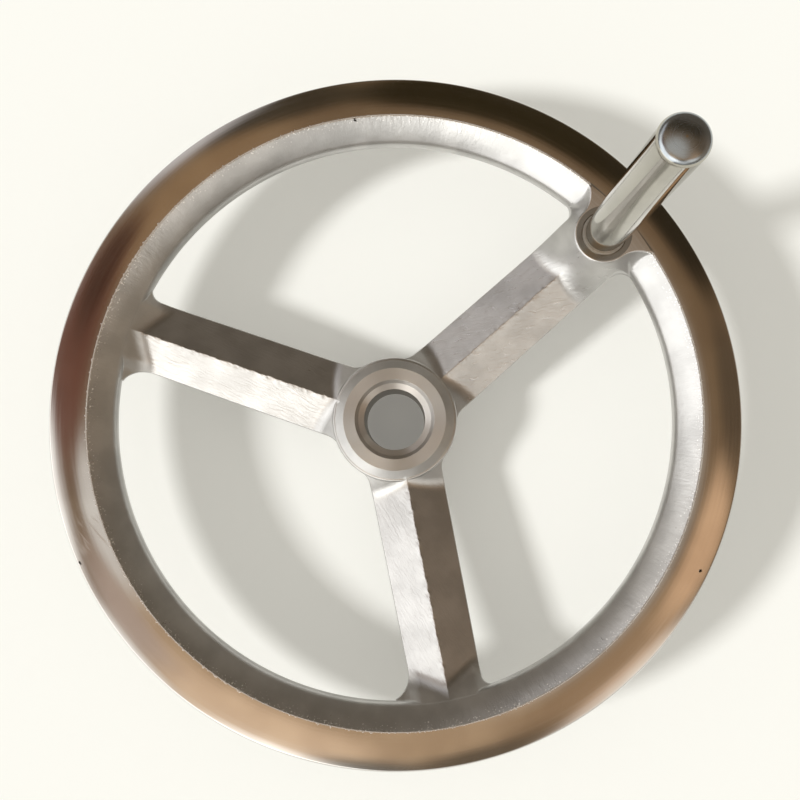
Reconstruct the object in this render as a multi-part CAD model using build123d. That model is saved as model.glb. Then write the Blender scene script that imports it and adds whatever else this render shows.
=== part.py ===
from build123d import *
import os
from math import acos, atan2, cos, hypot, pi, radians, sin, sqrt, tan

# Machine handwheel: a cast wheel with a turned rim, three roof-backed spokes and a bored hub,
# and a polished grip that revolves on a spindle screwed into the boss on one spoke.
# Millimetres. Z is the wheel's axis, z = 0 is the hub's lower face, and the boss lies on +X.

# ---- rim -------------------------------------------------------------------------------
rim_diameter = 200.0
rim_thickness = 15.0            # height of the rim's section
rim_top_level = 36.0            # machined face of the rim and boss above the hub's lower face
rim_face_width = 13.4           # outer diameter to the crease where the cast flank begins
rim_flank_angle = 33.0          # lean of the inner flank from upright
rim_inner_round = 5.0           # round between the inner flank and the rim's underside
rim_edge_inset = 2.5            # outer diameter to the rim's upper edge
rim_edge_drop = 0.9             # how far the crowned face falls from the crease to its edge
rim_belly_round = 3.0           # round between the rim's barrelled side and its underside

# ---- hub -------------------------------------------------------------------------------
hub_length = 24.0
hub_face_diameter = 30.2
hub_waist_diameter = 37.0       # widest part of the hub, where the spokes grow out
hub_waist_level = 15.0
hub_foot_diameter = 35.0
hub_foot_chamfer = 0.8
bore_diameter = 18.0
bore_foot_chamfer = 0.8
lead_in_diameter = 23.4         # mouth of the two-step countersink
lead_in_steep_depth = 1.2
lead_in_steep_width = 0.95
lead_in_shallow_depth = 0.9

# ---- spokes ----------------------------------------------------------------------------
spoke_count = 3
spoke_width_at_hub = 22.0
spoke_width_at_rim = 20.6
ridge_level_at_hub = 20.5
ridge_level_at_rim = 27.3
facet_angle = 20.0              # slope of each half of the roof
spoke_side_height = 2.5         # wall below the roof's eaves
web_radius_at_hub = 6.0         # rounds of the windows' corners, seen from above
web_radius_at_rim = 4.6
ridge_radius_at_rim = 5.0       # hollow that carries the roof up into the rim's flank

# ---- handle boss -----------------------------------------------------------------------
handle_inset = 20.7             # rim's outer edge to handle axis
boss_diameter = 16.4
boss_foot_diameter = 18.0
boss_foot_level = 19.0
boss_neck_radius = 9.0          # hollow sides of the tongue that joins the boss to the rim
tongue_half_angle = 8.7         # where the hollow sides reach the crease
tongue_depth = 10.0             # how far the tongue's cast sides run down
tongue_draft = 12.0
tongue_root = 4.0               # how far the tongue runs on inside the rim
counterbore_diameter = 11.9
counterbore_depth = 4.6
counterbore_chamfer = 0.35

# ---- spindle ---------------------------------------------------------------------------
stud_diameter = 8.0
stud_length = 11.6
stud_chamfer = 0.8
socket_across_flats = 4.0
socket_depth = 4.5
collar_diameter = 10.0
collar_thickness = 1.5
pin_diameter = 7.0
pin_length = 56.0
pin_chamfer = 0.6

# ---- grip ------------------------------------------------------------------------------
grip_diameter = 11.6
grip_base_diameter = 10.5
grip_waist_length = 17.0        # length over which the base swells to the full diameter
grip_reach = 80.0               # tip of the grip above the boss
grip_tip_round = 1.3
grip_tip_dome = 0.45
grip_mouth_chamfer = 0.4
grip_wall_beyond_pin = 2.0      # free depth of the bore past the end of the pin
drill_point_angle = 118.0

# ---- retaining ring --------------------------------------------------------------------
ring_wire_diameter = 1.1
ring_gap_angle = 50.0
ring_below_pin_end = 5.0

# ---- clearances ------------------------------------------------------------------------
running_clearance = 0.05        # radial, grip on pin
grip_end_clearance = 0.3        # grip above the spindle's collar
groove_clearance = 0.15         # retaining ring to the walls of both grooves
overlap = 1.0                   # how far a boolean tool runs past a face

# ---- sections of the lofted webs -------------------------------------------------------
web_steps = 5                   # sections along the round where a spoke's side opens out
rise_steps = 4                  # sections along the hollow that carries the ridge up the flank
closest_sections = 0.15

# ---- sizes worked out from the ones above ----------------------------------------------
rim_radius = rim_diameter / 2
handle_offset = rim_radius - handle_inset
rim_foot_level = rim_top_level - rim_thickness
crease_radius = rim_radius - rim_face_width
flank_lean = radians(rim_flank_angle)
inner_round_level = rim_foot_level + rim_inner_round
inner_round_radius = (crease_radius - (rim_top_level - inner_round_level) * tan(flank_lean)
                      + rim_inner_round / cos(flank_lean))
window_radius = inner_round_radius - rim_inner_round
boss_radius = boss_diameter / 2
hub_waist_radius = hub_waist_diameter / 2
bore_radius = bore_diameter / 2
lead_in_radius = lead_in_diameter / 2
collar_seat_level = rim_top_level - counterbore_depth
pin_foot_level = collar_seat_level + collar_thickness
pin_end_level = pin_foot_level + pin_length
grip_foot_level = pin_foot_level + grip_end_clearance
grip_tip_level = rim_top_level + grip_reach
ring_level = pin_end_level - ring_below_pin_end
groove_floor_radius = (pin_diameter - ring_wire_diameter) / 2
groove_reach = groove_floor_radius + ring_wire_diameter
groove_half_width = ring_wire_diameter / 2 + groove_clearance
ridge_slope = (ridge_level_at_rim - ridge_level_at_hub) / (window_radius - hub_waist_radius)
facet_slope = tan(radians(facet_angle))


def revolved(outline):
    """A closed outline of (radius, height) lines and arcs, turned about the Z axis."""
    return revolve(make_face(outline), Axis.Z)


def ridge_level(x):
    """Height of the straight part of a spoke's ridge, x from the wheel's axis."""
    return ridge_level_at_hub + (x - hub_waist_radius) * ridge_slope


def spoke_half_width(x):
    """Half the width of the straight, slightly tapering part of a spoke."""
    share = (x - hub_waist_radius) / (window_radius - hub_waist_radius)
    return (spoke_width_at_hub + (spoke_width_at_rim - spoke_width_at_hub) * share) / 2


def rim():
    """Section of the rim: crowned face, barrelled side, belly, underside, inner round, flank."""
    edge_radius = rim_radius - rim_edge_inset
    edge_level = rim_top_level - rim_edge_drop
    widest_level = rim_foot_level + rim_belly_round
    round_end = (inner_round_radius - rim_inner_round * cos(flank_lean),
                 inner_round_level + rim_inner_round * sin(flank_lean))
    crown = TangentArc((crease_radius, rim_top_level), (edge_radius, edge_level), tangent=(1, 0))
    side = TangentArc((rim_radius, widest_level), (edge_radius, edge_level), tangent=(0, 1))
    belly = TangentArc((rim_radius, widest_level), (rim_radius - rim_belly_round, rim_foot_level),
                       tangent=(0, -1))
    foot = Line((rim_radius - rim_belly_round, rim_foot_level), (inner_round_radius, rim_foot_level))
    inner_round = TangentArc((inner_round_radius, rim_foot_level), round_end, tangent=(-1, 0))
    flank = Line(round_end, (crease_radius, rim_top_level))
    return revolved(Plane.XZ * (crown + side + belly + foot + inner_round + flank))


def hub():
    """Turned hub blank: drafted foot, cone up to the machined face. The bore is cut last."""
    foot_radius = hub_foot_diameter / 2
    outline = Polyline((0, 0),
                       (foot_radius - hub_foot_chamfer, 0),
                       (foot_radius, hub_foot_chamfer),
                       (hub_waist_radius, hub_waist_level),
                       (hub_face_diameter / 2, hub_length),
                       (0, hub_length),
                       close=True)
    return revolved(Plane.XZ * outline)


def hub_bore():
    """Through bore with a chamfered foot and a two-step countersink at the face."""
    step_radius = lead_in_radius - lead_in_steep_width
    step_level = hub_length - lead_in_steep_depth
    mouth_spread = overlap * lead_in_steep_width / lead_in_steep_depth
    outline = Polyline((0, -overlap),
                       (bore_radius + bore_foot_chamfer + overlap, -overlap),
                       (bore_radius, bore_foot_chamfer),
                       (bore_radius, step_level - lead_in_shallow_depth),
                       (step_radius, step_level),
                       (lead_in_radius + mouth_spread, hub_length + overlap),
                       (0, hub_length + overlap),
                       close=True)
    return revolved(Plane.XZ * outline)


def roof_section(x, half_width, ridge, side_bottom):
    """Five-sided section of a spoke across X: two roof facets, two sides and a flat underside."""
    eaves = ridge - half_width * facet_slope
    corners = [(x, 0, ridge), (x, half_width, eaves), (x, half_width, side_bottom),
               (x, -half_width, side_bottom), (x, -half_width, eaves)]
    return make_face(Polyline(*corners, close=True))


def underside_level(x):
    """Height of a spoke's flat underside."""
    return ridge_level(x) - spoke_half_width(x) * facet_slope - spoke_side_height


def straight_part(x_start, x_end):
    """The part of a spoke between its two webs."""
    ends = [roof_section(x, spoke_half_width(x), ridge_level(x), underside_level(x))
            for x in (x_start, x_end)]
    return loft(ends, ruled=True)


def hub_web_start():
    """Where the round at the hub leaves the spoke's side, and how far it turns."""
    reach = hub_waist_radius + web_radius_at_hub
    side = spoke_half_width(hub_waist_radius) + web_radius_at_hub
    x_start = sqrt(reach ** 2 - side ** 2)
    return x_start, pi / 2 - atan2(side, x_start)


def rim_web_start():
    """Where the round at the rim leaves the spoke's side, and how far it turns."""
    reach = window_radius - web_radius_at_rim
    side = spoke_half_width(window_radius) + web_radius_at_rim
    x_start = sqrt(reach ** 2 - side ** 2)
    return x_start, pi / 2 - atan2(side, x_start)


def hub_web():
    """The spoke's root: its sides open into the hub along an arc."""
    x_start, turn = hub_web_start()
    sections = []
    for i in range(web_steps + 1):
        angle = turn * i / web_steps
        x = x_start - web_radius_at_hub * sin(angle)
        half_width = spoke_half_width(x_start) + web_radius_at_hub * (1 - cos(angle))
        ridge = ridge_level(x)
        sections.append(roof_section(x, half_width, ridge, underside_level(x)))
    return loft(sections)


def ridge_hollow():
    """Centre of the arc, in the XZ plane, that joins the ridge line to the rim's flank."""
    slope = atan2(ridge_slope, 1)
    ridge_normal = (-sin(slope), cos(slope))
    flank_normal = (-cos(flank_lean), sin(flank_lean))
    ridge_at_zero = ridge_level(0)
    ridge_offset = ridge_normal[1] * ridge_at_zero + ridge_radius_at_rim
    flank_offset = (flank_normal[0] * crease_radius + flank_normal[1] * rim_top_level
                    + ridge_radius_at_rim)
    spread = ridge_normal[0] * flank_normal[1] - ridge_normal[1] * flank_normal[0]
    x = (ridge_offset * flank_normal[1] - flank_offset * ridge_normal[1]) / spread
    z = (ridge_normal[0] * flank_offset - flank_normal[0] * ridge_offset) / spread
    return x, z, slope


def rim_web():
    """The spoke's outer end: its sides open into the rim and its ridge sweeps up the flank."""
    x_start, turn = rim_web_start()
    centre_x, centre_z, slope = ridge_hollow()
    hollow_start = centre_x + ridge_radius_at_rim * sin(slope)
    steepest = pi / 2 - flank_lean
    stations = [x_start + web_radius_at_rim * sin(turn * i / web_steps) for i in range(web_steps + 1)]
    for i in range(1, rise_steps + 1):
        angle = slope + (steepest - slope) * i / rise_steps
        stations.append(centre_x + ridge_radius_at_rim * sin(angle))
    widest = web_radius_at_rim * sin(turn)
    sections = []
    last = -rim_radius
    for x in sorted(stations):
        if x - last < closest_sections:
            continue
        last = x
        along = min(max(x - x_start, 0.0), widest)
        flare = web_radius_at_rim - sqrt(web_radius_at_rim ** 2 - along ** 2)
        ridge = ridge_level(x)
        if x > hollow_start:
            ridge = centre_z - sqrt(ridge_radius_at_rim ** 2 - (x - centre_x) ** 2)
        sections.append(roof_section(x, spoke_half_width(x_start) + flare, ridge, underside_level(x)))
    return loft(sections, ruled=True)


def spoke():
    """One spoke along +X, from inside the hub to inside the rim."""
    hub_start, _ = hub_web_start()
    rim_start, _ = rim_web_start()
    return straight_part(hub_start, rim_start) + hub_web() + rim_web()


def polar(radius, angle):
    """Point at an angle in degrees from +X."""
    return radius * cos(radians(angle)), radius * sin(radians(angle))


def tongue():
    """Machined tongue that joins the boss to the rim, with hollow sides and drafted cast walls."""
    corner = polar(crease_radius, tongue_half_angle)
    root = polar(crease_radius + tongue_root, tongue_half_angle)
    span = hypot(corner[0] - handle_offset, corner[1])
    reach = boss_radius + boss_neck_radius
    to_corner = atan2(corner[1], corner[0] - handle_offset)
    opening = acos((reach ** 2 + span ** 2 - boss_neck_radius ** 2) / (2 * reach * span))
    bearing = to_corner + opening
    neck_centre = (handle_offset + reach * cos(bearing), reach * sin(bearing))
    touch = (handle_offset + boss_radius * cos(bearing), boss_radius * sin(bearing))
    chord_middle = ((corner[0] + touch[0]) / 2, (corner[1] + touch[1]) / 2)
    to_chord = hypot(chord_middle[0] - neck_centre[0], chord_middle[1] - neck_centre[1])
    hollow = (neck_centre[0] + (chord_middle[0] - neck_centre[0]) * boss_neck_radius / to_chord,
              neck_centre[1] + (chord_middle[1] - neck_centre[1]) * boss_neck_radius / to_chord)
    outline = ThreePointArc(corner, hollow, touch)
    outline += ThreePointArc(touch, (handle_offset - boss_radius, 0), mirrored(touch))
    outline += ThreePointArc(mirrored(touch), mirrored(hollow), mirrored(corner))
    outline += Polyline(mirrored(corner), mirrored(root), root, corner)
    face = Pos(0, 0, rim_top_level) * make_face(outline)
    return extrude(face, amount=tongue_depth, dir=(0, 0, -1), taper=-tongue_draft)


def mirrored(point):
    """The same point on the other side of the X axis."""
    return point[0], -point[1]


def handle_axis_at(level):
    """Placement on the handle's axis."""
    return Pos(handle_offset, 0, level)


def upward_cylinder(radius, foot_level, head_level):
    """Cylinder about the handle's axis between two heights."""
    height = head_level - foot_level
    return handle_axis_at(foot_level + height / 2) * Cylinder(radius, height)


def boss_holes():
    """Counterbore for the spindle's collar, tapped hole below it, and their chamfers."""
    hole = upward_cylinder(counterbore_diameter / 2, collar_seat_level, rim_top_level + overlap)
    hole += upward_cylinder(stud_diameter / 2, boss_foot_level - overlap, collar_seat_level)
    mouth = counterbore_diameter / 2 + counterbore_chamfer
    hole += handle_axis_at(rim_top_level - counterbore_chamfer / 2) * Cone(
        counterbore_diameter / 2, mouth, counterbore_chamfer)
    exit_radius = stud_diameter / 2 + stud_chamfer
    hole += handle_axis_at(boss_foot_level + stud_chamfer / 2) * Cone(
        exit_radius, stud_diameter / 2, stud_chamfer)
    return hole


def wheel_casting():
    """Rim, spokes, hub and boss, cast as one piece and then turned and bored."""
    body = rim() + hub()
    bar = spoke()
    for i in range(spoke_count):
        body += Rot(0, 0, i * 360 / spoke_count) * bar
    body += tongue()
    body += upward_cylinder(boss_foot_diameter / 2, boss_foot_level, rim_top_level - tongue_depth)
    return body - hub_bore() - boss_holes()


def handle_spindle():
    """Threaded stud with a hexagon socket in its end, a collar, and the grooved pin."""
    stud_radius = stud_diameter / 2
    stud_foot = collar_seat_level - stud_length
    pin_radius = pin_diameter / 2
    collar_radius = collar_diameter / 2
    outline = Polyline((0, stud_foot),
                       (stud_radius - stud_chamfer, stud_foot),
                       (stud_radius, stud_foot + stud_chamfer),
                       (stud_radius, collar_seat_level),
                       (collar_radius, collar_seat_level),
                       (collar_radius, pin_foot_level),
                       (pin_radius, pin_foot_level),
                       (pin_radius, ring_level - groove_half_width),
                       (groove_floor_radius, ring_level - groove_half_width),
                       (groove_floor_radius, ring_level + groove_half_width),
                       (pin_radius, ring_level + groove_half_width),
                       (pin_radius, pin_end_level - pin_chamfer),
                       (pin_radius - pin_chamfer, pin_end_level),
                       (0, pin_end_level),
                       close=True)
    shaft = handle_axis_at(0) * revolved(Plane.XZ * outline)
    socket_radius = socket_across_flats / sqrt(3)
    socket = extrude(RegularPolygon(socket_radius, 6), amount=socket_depth + overlap)
    return shaft - handle_axis_at(stud_foot - overlap) * socket


def handle_grip():
    """Blind-bored grip: swelling base, straight body, rounded tip with a low dome."""
    radius = grip_diameter / 2
    base_radius = grip_base_diameter / 2
    bore = pin_diameter / 2 + running_clearance
    inner_groove = groove_reach + groove_clearance
    bore_end = pin_end_level + grip_wall_beyond_pin
    drill_point = bore / tan(radians(drill_point_angle / 2))
    shoulder = grip_tip_level - grip_tip_dome - grip_tip_round
    tip_rim = radius - grip_tip_round
    dome_radius = (tip_rim ** 2 + grip_tip_dome ** 2) / (2 * grip_tip_dome)
    dome_side = dome_radius - sqrt(dome_radius ** 2 - (tip_rim / 2) ** 2)
    waist = TangentArc((radius, grip_foot_level + grip_waist_length),
                       (base_radius, grip_foot_level), tangent=(0, -1))
    body = Line((radius, grip_foot_level + grip_waist_length), (radius, shoulder))
    tip = TangentArc((radius, shoulder), (tip_rim, shoulder + grip_tip_round), tangent=(0, 1))
    dome = ThreePointArc((tip_rim, grip_tip_level - grip_tip_dome),
                         (tip_rim / 2, grip_tip_level - dome_side),
                         (0, grip_tip_level))
    inside = Polyline((0, grip_tip_level),
                      (0, bore_end + drill_point),
                      (bore, bore_end),
                      (bore, ring_level + groove_half_width),
                      (inner_groove, ring_level + groove_half_width),
                      (inner_groove, ring_level - groove_half_width),
                      (bore, ring_level - groove_half_width),
                      (bore, grip_foot_level + grip_mouth_chamfer),
                      (bore + grip_mouth_chamfer, grip_foot_level),
                      (base_radius, grip_foot_level))
    outline = waist + body + tip + dome + inside
    return handle_axis_at(0) * revolved(Plane.XZ * outline)


def grip_retaining_ring():
    """Split ring of round wire, sprung into the pin's groove."""
    wire_radius = ring_wire_diameter / 2
    pitch_radius = groove_floor_radius + wire_radius
    wire = Plane.XZ * (Pos(pitch_radius, 0) * Circle(wire_radius))
    ring = revolve(wire, Axis.Z, 360 - ring_gap_angle)
    return handle_axis_at(ring_level) * (Rot(0, 0, ring_gap_angle / 2) * ring)


parts = {
    "wheel_casting": wheel_casting(),
    "handle_spindle": handle_spindle(),
    "handle_grip": handle_grip(),
    "grip_retaining_ring": grip_retaining_ring(),
}

os.makedirs("parts", exist_ok=True)
for name, part in parts.items():
    export_step(part, f"parts/{name}.step")
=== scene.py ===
import math
import bpy
import numpy as np
from mathutils import Matrix, Vector


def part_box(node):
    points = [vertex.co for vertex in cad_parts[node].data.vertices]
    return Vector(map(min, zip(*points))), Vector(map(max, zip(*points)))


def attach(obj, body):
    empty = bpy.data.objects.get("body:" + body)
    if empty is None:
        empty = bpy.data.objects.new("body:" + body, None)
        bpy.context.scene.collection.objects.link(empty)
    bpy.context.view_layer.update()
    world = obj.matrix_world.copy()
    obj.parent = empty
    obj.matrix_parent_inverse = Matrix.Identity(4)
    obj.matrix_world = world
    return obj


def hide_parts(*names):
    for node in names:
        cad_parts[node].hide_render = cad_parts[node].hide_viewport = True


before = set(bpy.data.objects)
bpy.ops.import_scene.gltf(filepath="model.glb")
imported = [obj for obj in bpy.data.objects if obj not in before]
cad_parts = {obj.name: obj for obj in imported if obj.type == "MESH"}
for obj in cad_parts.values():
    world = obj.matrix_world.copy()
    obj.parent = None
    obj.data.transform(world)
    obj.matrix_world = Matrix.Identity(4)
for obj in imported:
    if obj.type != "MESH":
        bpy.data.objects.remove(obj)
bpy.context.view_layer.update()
scene = bpy.context.scene
scene.view_settings.view_transform = "Standard"
print("frame loaded")

mm = 0.001  # sizes below are in millimetres and are turned to metres when a mesh is made

# shader helpers


def addNode(tree, kind, **settings):
    # one shader node. Settings name either a property of the node or one of its inputs
    node = tree.nodes.new(kind)
    for key, value in settings.items():
        if hasattr(node, key):
            setattr(node, key, value)
        else:
            socketName = key.replace("_", " ")
            if hasattr(value, "is_linked"):
                tree.links.new(value, node.inputs[socketName])
            else:
                node.inputs[socketName].default_value = value
    return node


def calc(tree, operation, first, second=0.0, third=0.0):
    # a Math node's value. Each operand is a number or a socket
    node = tree.nodes.new("ShaderNodeMath")
    node.operation = operation
    for socket, value in zip(node.inputs, (first, second, third)):
        if hasattr(value, "is_linked"):
            tree.links.new(value, socket)
        else:
            socket.default_value = value
    return node.outputs[0]


def mapRange(tree, value, low, high, toLow=0.0, toHigh=1.0, smooth=True):
    # value moved from one range to another, clamped, with a soft start and end
    node = tree.nodes.new("ShaderNodeMapRange")
    node.interpolation_type = "SMOOTHSTEP" if smooth else "LINEAR"
    tree.links.new(value, node.inputs["Value"])
    limits = {"From Min": low, "From Max": high, "To Min": toLow, "To Max": toHigh}
    for name, limit in limits.items():
        node.inputs[name].default_value = limit
    return node.outputs["Result"]


def mixColors(tree, factor, first, second, blend="MIX"):
    # mix of two colours. Each is a colour or a socket
    node = tree.nodes.new("ShaderNodeMix")
    node.data_type = "RGBA"
    node.blend_type = blend
    for index, value in ((0, factor), (6, first), (7, second)):
        if hasattr(value, "is_linked"):
            tree.links.new(value, node.inputs[index])
        else:
            node.inputs[index].default_value = value
    return node.outputs[2]


def mixFloats(tree, factor, first, second):
    # first where the factor is 0, second where it is 1
    node = tree.nodes.new("ShaderNodeMix")
    for index, value in ((0, factor), (2, first), (3, second)):
        if hasattr(value, "is_linked"):
            tree.links.new(value, node.inputs[index])
        else:
            node.inputs[index].default_value = value
    return node.outputs[0]


def newGroup(name, inputs, outputs):
    # shader node group with named float, vector or colour sockets
    kinds = {"float": "NodeSocketFloat", "vector": "NodeSocketVector", "color": "NodeSocketColor"}
    group = bpy.data.node_groups.new(name, "ShaderNodeTree")
    for socketName, (kind, value) in inputs.items():
        socket = group.interface.new_socket(socketName, in_out="INPUT", socket_type=kinds[kind])
        if value is not None:
            socket.default_value = value
    for socketName, kind in outputs.items():
        group.interface.new_socket(socketName, in_out="OUTPUT", socket_type=kinds[kind])
    return group, group.nodes.new("NodeGroupInput"), group.nodes.new("NodeGroupOutput")


def useGroup(tree, group, **inputs):
    # a group's node in a material, with its own values
    node = tree.nodes.new("ShaderNodeGroup")
    node.node_tree = group
    for key, value in inputs.items():
        socket = node.inputs[key.replace("_", " ")]
        if hasattr(value, "is_linked"):
            tree.links.new(value, socket)
        else:
            socket.default_value = value
    return node


def newMaterial(name):
    material = bpy.data.materials.new(name)
    material.use_nodes = True
    material.node_tree.nodes.clear()
    tree = material.node_tree
    output = tree.nodes.new("ShaderNodeOutputMaterial")
    return material, tree, output


# mesh helpers


def gridFaces(rows, columns, wrapRows=False, wrapColumns=False):
    # four point numbers for each cell between neighbouring rows and columns of a grid
    i = np.arange(rows if wrapRows else rows - 1)
    j = np.arange(columns if wrapColumns else columns - 1)
    a, b = np.meshgrid(i, j, indexing="ij")
    nextA, nextB = (a + 1) % rows, (b + 1) % columns
    corners = [a * columns + b, a * columns + nextB, nextA * columns + nextB, nextA * columns + b]
    return np.stack(corners, -1).reshape(-1, 4)


def fanFaces(ring, centre, backwards=False):
    # triangles from each side of a closed ring of points to one point in its middle
    onward = np.roll(ring, -1)
    sides = (onward, ring) if backwards else (ring, onward)
    return np.stack([*sides, np.full_like(ring, centre)], -1)


def enclosedVolume(points, triangles):
    # sum of the signed volumes of the tetrahedra from the origin to each triangle
    a, b, c = (points[triangles[:, k]] for k in range(3))
    return np.einsum("ij,ij->i", a, np.cross(b, c)).sum() / 6


def makePiece(name, points, faceSets, materials, faceMetals=None, uv=None, closed=True):
    # mesh object in metres from points in millimetres; a closed one gets its faces turned outwards
    points = np.asarray(points, float).reshape(-1, 3)
    faceSets = [np.asarray(faces, int) for faces in faceSets if len(faces)]
    if closed:
        triangles = [faces[:, [0, 1, 2]] for faces in faceSets]
        triangles += [faces[:, [0, 2, 3]] for faces in faceSets if faces.shape[1] == 4]
        if enclosedVolume(points, np.concatenate(triangles)) < 0:
            faceSets = [faces[:, ::-1] for faces in faceSets]
    loops = np.concatenate([faces.ravel() for faces in faceSets])
    corners = np.concatenate([np.full(len(faces), faces.shape[1]) for faces in faceSets])
    mesh = bpy.data.meshes.new(name)
    mesh.vertices.add(len(points))
    mesh.vertices.foreach_set("co", (points * mm).ravel())
    mesh.loops.add(len(loops))
    mesh.loops.foreach_set("vertex_index", loops)
    mesh.polygons.add(len(corners))
    mesh.polygons.foreach_set("loop_start", np.cumsum(corners) - corners)
    for material in materials:
        mesh.materials.append(material)
    if faceMetals is not None:
        metals = np.zeros(len(corners), np.int32)
        metals[:len(faceMetals)] = faceMetals
        mesh.polygons.foreach_set("material_index", metals)
    if uv is not None:
        layer = mesh.uv_layers.new(name="along")
        layer.data.foreach_set("uv", np.asarray(uv, float).reshape(-1, 2)[loops].ravel())
    mesh.update(calc_edges=True)
    mesh.validate()
    mesh.polygons.foreach_set("use_smooth", np.ones(len(mesh.polygons), bool))
    piece = bpy.data.objects.new(name, mesh)
    scene.collection.objects.link(piece)
    return piece


def revolvedPiece(name, profile, segments, centre, materials, rowMetals=None, poles=False):
    # an outline of (radius, height) rows turned about an upright axis through centre;
    # it closes on itself, or with poles its first and last rows lie on the axis
    angle = np.linspace(0, 2 * np.pi, segments, endpoint=False)
    rows = profile[1:-1] if poles else profile
    radius, height = rows[:, 0][:, None], rows[:, 1][:, None]
    x = centre[0] + radius * np.cos(angle)
    y = centre[1] + radius * np.sin(angle)
    points = np.stack([x, y, height + 0 * angle], -1).reshape(-1, 3)
    faceSets = [gridFaces(len(rows), segments, wrapRows=not poles, wrapColumns=True)]
    if poles:
        ends = [(centre[0], centre[1], profile[0, 1]), (centre[0], centre[1], profile[-1, 1])]
        lastRing = len(points) - segments + np.arange(segments)
        faceSets += [fanFaces(np.arange(segments), len(points), backwards=True),
                     fanFaces(lastRing, len(points) + 1)]
        points = np.concatenate([points, ends])
    faceMetals = None if rowMetals is None else np.repeat(rowMetals, segments)
    return makePiece(name, points, faceSets, materials, faceMetals)


def arc(centre, radius, start, end, count):
    # points (radius, height) on an arc, angles in degrees from the outward direction
    angle = np.radians(np.linspace(start, end, count))
    return np.stack([centre[0] + radius * np.cos(angle), centre[1] + radius * np.sin(angle)], -1)


def line(start, end, count):
    # points (radius, height) from start to end, without the end
    share = np.linspace(0, 1, count, endpoint=False)[:, None]
    return np.array(start) * (1 - share) + np.array(end) * share


def smoothMax(a, b, reach):
    # the larger of two heights, with a hollow of the given reach where they meet
    share = np.clip(0.5 + 0.5 * (a - b) / reach, 0, 1)
    return b * (1 - share) + a * share + reach * share * (1 - share)


def softStep(value, low, high):
    # 0 below low, 1 above high, and a smooth rise between
    share = np.clip((value - low) / (high - low), 0, 1)
    return share * share * (3 - 2 * share)


def wander(position, spacing, seed):
    # smooth random line between -1 and 1 whose turns lie about one spacing apart
    knots = np.random.default_rng(seed).uniform(-1, 1, 2000)
    place = position / spacing + 500
    left = np.floor(place).astype(int)
    share = place - left
    share = share * share * (3 - 2 * share)
    return knots[left] * (1 - share) + knots[left + 1] * share


# metals

steel = {
    "turned": (0.64, 0.615, 0.585, 1),
    "cast": (0.60, 0.59, 0.575, 1),
    "polished": (0.46, 0.44, 0.385, 1),
    # darker, bluer copy of the grip's polished steel: painted shade on the grip's tip
    "tip": (0.40, 0.43, 0.455, 1),
    # near-black spindle steel: painted shade for the dark gap round the grip's foot
    "pin": (0.09, 0.085, 0.08, 1),
    "ring": (0.31, 0.30, 0.28, 1),
    "spring": (0.35, 0.35, 0.36, 1),
    # darker steel of bores and holes: painted shade inside them
    "bore": (0.24, 0.21, 0.17, 1),
    # near-black pit colour: painted shade in the pits' hollows
    "pit": (0.05, 0.045, 0.04, 1),
}
handleOffset = 79.3
creaseRadius = 86.6


def polarSeat(tree, coords, circle, along):
    # place on a circle of fixed size in the point's own direction, raised by the share along of
    # its distance from the axis and its height: streaks drawn there run away from the axis
    axes = addNode(tree, "ShaderNodeSeparateXYZ", Vector=coords)
    flat = addNode(tree, "ShaderNodeCombineXYZ", X=axes.outputs["X"], Y=axes.outputs["Y"])
    reach = addNode(tree, "ShaderNodeVectorMath", operation="LENGTH", Vector=flat.outputs[0])
    unit = addNode(tree, "ShaderNodeVectorMath", operation="NORMALIZE", Vector=flat.outputs[0])
    ring = addNode(tree, "ShaderNodeVectorMath", operation="SCALE", Vector=unit.outputs[0], Scale=circle)
    out = calc(tree, "ADD", reach.outputs["Value"], axes.outputs["Z"])
    lift = addNode(tree, "ShaderNodeCombineXYZ", Z=calc(tree, "MULTIPLY", out, along))
    seat = addNode(tree, "ShaderNodeVectorMath", operation="ADD", Vector=ring.outputs[0])
    tree.links.new(lift.outputs[0], seat.inputs[1])
    return seat.outputs[0], reach.outputs["Value"]


def turnedMarksGroup():
    # rings about an upright axis: noise read along the distance from it, and a broad tone
    group, inside, outside = newGroup(
        "turnedMarks",
        {"Centre X": ("float", 0.0), "Rings per mm": ("float", 6.0)},
        {"Height": "float", "Tone": "float", "Reach": "float"})
    place = addNode(group, "ShaderNodeTexCoord")
    centre = addNode(group, "ShaderNodeCombineXYZ", X=inside.outputs["Centre X"])
    offset = addNode(group, "ShaderNodeVectorMath", operation="SUBTRACT", Vector=place.outputs["Object"])
    group.links.new(centre.outputs[0], offset.inputs[1])
    flat = addNode(group, "ShaderNodeVectorMath", operation="MULTIPLY", Vector=offset.outputs[0])
    flat.inputs[1].default_value = (1, 1, 0)
    reach = addNode(group, "ShaderNodeVectorMath", operation="LENGTH", Vector=flat.outputs[0])
    perMetre = calc(group, "MULTIPLY", inside.outputs["Rings per mm"], 1000.0)
    across = calc(group, "MULTIPLY", reach.outputs["Value"], perMetre)
    drift = addNode(group, "ShaderNodeVectorMath", operation="SCALE", Vector=flat.outputs[0], Scale=9.0)
    seat = addNode(group, "ShaderNodeVectorMath", operation="ADD", Vector=drift.outputs[0])
    level = addNode(group, "ShaderNodeCombineXYZ", Z=across)
    group.links.new(level.outputs[0], seat.inputs[1])
    rings = addNode(group, "ShaderNodeTexNoise", Vector=seat.outputs[0], Scale=1.0, Detail=3.0)
    broad = addNode(group, "ShaderNodeTexNoise", Vector=place.outputs["Object"], Scale=60.0, Detail=2.0)
    group.links.new(rings.outputs["Fac"], outside.inputs["Height"])
    group.links.new(broad.outputs["Fac"], outside.inputs["Tone"])
    group.links.new(reach.outputs["Value"], outside.inputs["Reach"])
    return group


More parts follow.
